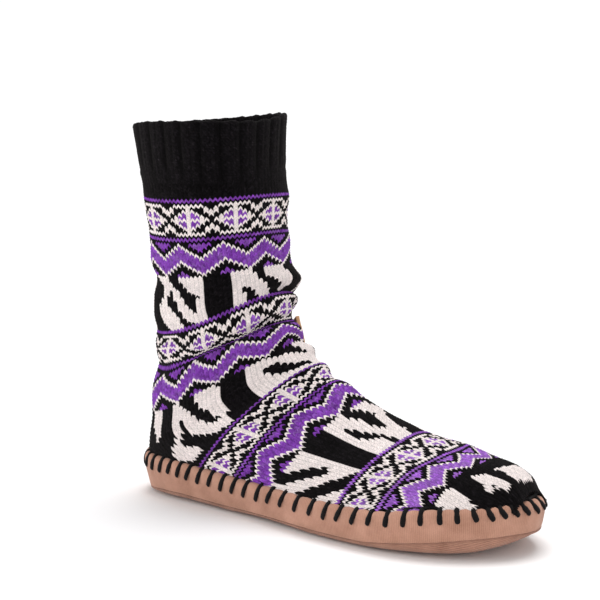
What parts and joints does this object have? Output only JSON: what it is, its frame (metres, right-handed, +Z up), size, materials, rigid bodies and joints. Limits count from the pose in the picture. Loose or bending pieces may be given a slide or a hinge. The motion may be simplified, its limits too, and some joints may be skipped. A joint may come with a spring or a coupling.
{
  "type": "slipper sock",
  "caption": "Mid-calf knitted slipper sock for the right foot, with a ribbed cuff, a padded fabric side band and a soft flat sole.",
  "frame": {"origin": "middle of the shoe's box in plan, on the floor that it stands on", "axes": "+X towards the toe, +Y towards the inner side of the foot, +Z up"},
  "size_m": [0.2614, 0.092, 0.2191],
  "materials": {
    "knit": "patterned stranded knit, black, off-white and purple",
    "band_fabric": "tan fine-ribbed padded fabric",
    "panel_fabric": "tan fine-ribbed padded fabric",
    "footbed_fabric": "dark brushed lining"
  },
  "bodies": {
    "root": {"upper": "knit", "side_band": "band_fabric", "outsole": "panel_fabric", "insole": "footbed_fabric"}
  },
  "joints": []
}
